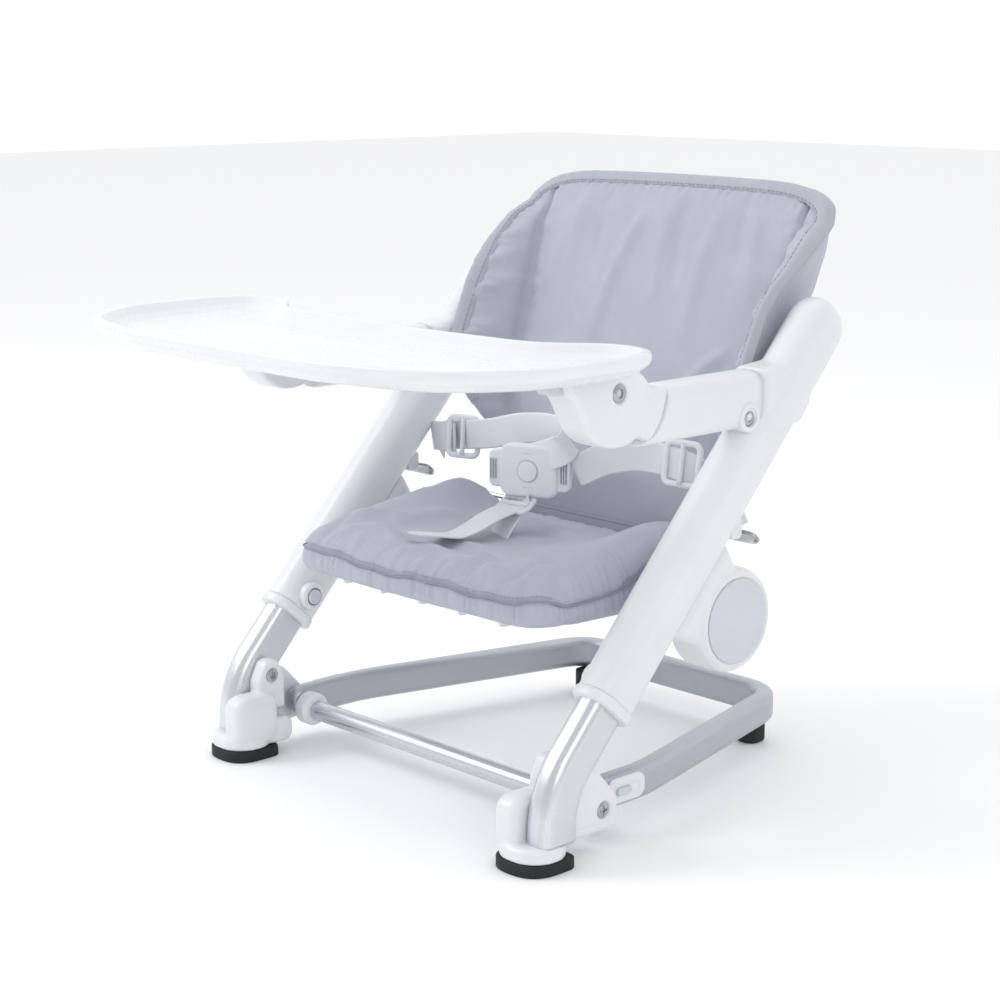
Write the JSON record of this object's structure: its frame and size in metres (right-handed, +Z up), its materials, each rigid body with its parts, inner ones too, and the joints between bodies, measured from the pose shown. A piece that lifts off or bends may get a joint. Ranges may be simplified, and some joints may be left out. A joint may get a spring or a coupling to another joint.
{
  "type": "baby high chair",
  "caption": "Low folding baby high chair: padded bucket back and seat on slanted telescopic legs, with a hinged lift-off tray, waist harness and U-shaped floor frame.",
  "frame": {"origin": "centre of the footprint's bounding box, on the floor plane", "axes": "+Z up, -Y towards the front, where the tray is and the child faces, +X to the child's left"},
  "size_m": [0.486, 0.499, 0.4669],
  "materials": {
    "white_plastic": "semi-gloss, fine moulded texture",
    "grey_cover": "satin",
    "silver_tube": "satin anodised",
    "steel": "turned, zinc plated",
    "rubber": "matte",
    "seat_fabric": "plain woven, light grey-blue",
    "webbing": "narrow woven webbing"
  },
  "bodies": {
    "base": {"base_frame": "silver_tube", "cross_tube": "silver_tube", "cross_tube_collar_left": "white_plastic", "cross_tube_collar_right": "white_plastic", "rear_pad_left": "rubber", "rear_pad_right": "rubber", "fold_latch_guide_left": "white_plastic", "fold_latch_guide_right": "white_plastic", "hinge_screw_left": "steel", "hinge_screw_right": "steel"},
    "legs": {"leg_tube_left": "silver_tube", "leg_tube_right": "silver_tube", "foot_bracket_left": "white_plastic", "foot_bracket_right": "white_plastic", "foot_sole_left": "rubber", "foot_sole_right": "rubber", "foot_screw_left": "steel", "foot_screw_right": "steel"},
    "carriage": {"sleeve_left": "white_plastic", "sleeve_right": "white_plastic", "sleeve_ring_left": "white_plastic", "sleeve_ring_right": "white_plastic", "top_cap_left": "white_plastic", "top_cap_right": "white_plastic", "hub_drum_left": "white_plastic", "hub_drum_right": "white_plastic", "hub_cover_left": "grey_cover", "hub_cover_right": "grey_cover", "armrest_left": "white_plastic", "armrest_right": "white_plastic", "arm_screw_left": "steel", "arm_screw_right": "steel", "harness_ring_left": "steel", "harness_ring_right": "steel"},
    "seat": {"seat_shell": "white_plastic", "seat_cushion": "seat_fabric", "back_hinge_rod": "steel", "crotch_strap": "webbing", "buckle_body": "grey_cover", "buckle_tongue_left": "grey_cover", "buckle_tongue_right": "grey_cover", "waist_belt_left": "webbing", "waist_belt_right": "webbing", "belt_adjuster_left": "grey_cover", "belt_adjuster_right": "grey_cover"},
    "backrest": {"backrest_cushion": "seat_fabric", "backrest_shell": "white_plastic"},
    "tray_holders": {"tray_holder_left": "white_plastic", "tray_holder_right": "white_plastic", "holder_screw_left": "steel", "holder_screw_right": "steel"},
    "tray": {"tray": "white_plastic"},
    "tray_release_left": {"tray_release_button_left": "white_plastic"},
    "tray_release_right": {"tray_release_button_right": "white_plastic"},
    "height_button_left": {"height_button_left": "grey_cover"},
    "height_button_right": {"height_button_right": "grey_cover"},
    "fold_latch_left": {"fold_latch_slider_left": "grey_cover"},
    "fold_latch_right": {"fold_latch_slider_right": "grey_cover"},
    "buckle_button": {"buckle_button": "grey_cover"}
  },
  "joints": [
    {"name": "leg_fold", "type": "hinge", "parent": "base", "child": "legs", "pos_m": [0, -0.0495, 0.031], "axis": [1, 0, 0], "range_deg": [-36, 0], "deforming": ["waist_belt_left", "waist_belt_right", "belt_adjuster_left", "belt_adjuster_right"]},
    {"name": "height_adjust", "type": "slide", "parent": "legs", "child": "carriage", "axis": [0, 0.6756, 0.7373], "range_m": [-0.027, 0.027], "deforming": ["waist_belt_left", "waist_belt_right", "belt_adjuster_left", "belt_adjuster_right"]},
    {"name": "seat_level", "type": "hinge", "parent": "carriage", "child": "seat", "pos_m": [0, 0.0785, 0.151], "axis": [1, 0, 0], "range_deg": [0, 36], "deforming": ["waist_belt_left", "waist_belt_right", "belt_adjuster_left", "belt_adjuster_right"]},
    {"name": "backrest_fold", "type": "hinge", "parent": "seat", "child": "backrest", "pos_m": [0, 0.1245, 0.168], "axis": [1, 0, 0], "range_deg": [0, 30], "deforming": ["waist_belt_left", "waist_belt_right", "belt_adjuster_left", "belt_adjuster_right"]},
    {"name": "tray_lift", "type": "hinge", "parent": "carriage", "child": "tray_holders", "pos_m": [0, -0.0495, 0.336], "axis": [1, 0, 0], "range_deg": [-40, 0]},
    {"name": "tray_slide", "type": "slide", "parent": "tray_holders", "child": "tray", "axis": [0, -1, 0], "range_m": [0, 0.06]},
    {"name": "tray_release_left_press", "type": "slide", "parent": "tray_holders", "child": "tray_release_left", "axis": [0, 1, 0], "range_m": [0, 0.003], "stiffness_N_per_m": 400},
    {"name": "height_button_left_pull", "type": "slide", "parent": "carriage", "child": "height_button_left", "axis": [1, 0, 0], "range_m": [0, 0.003], "stiffness_N_per_m": 400},
    {"name": "fold_latch_left_slide", "type": "slide", "parent": "base", "child": "fold_latch_left", "axis": [0, 1, 0], "range_m": [0, 0.009], "stiffness_N_per_m": 150},
    {"name": "tray_release_right_press", "type": "slide", "parent": "tray_holders", "child": "tray_release_right", "axis": [0, 1, 0], "range_m": [0, 0.003], "stiffness_N_per_m": 400},
    {"name": "height_button_right_pull", "type": "slide", "parent": "carriage", "child": "height_button_right", "axis": [-1, 0, 0], "range_m": [0, 0.003], "stiffness_N_per_m": 400},
    {"name": "fold_latch_right_slide", "type": "slide", "parent": "base", "child": "fold_latch_right", "axis": [0, 1, 0], "range_m": [0, 0.009], "stiffness_N_per_m": 150},
    {"name": "buckle_press", "type": "slide", "parent": "seat", "child": "buckle_button", "axis": [-0.3584, 0.9336, 0], "range_m": [0, 0.0012], "stiffness_N_per_m": 400}
  ],
  "couplings": [
    {"joint": "seat_level", "follows": "leg_fold", "ratio": -1}
  ]
}
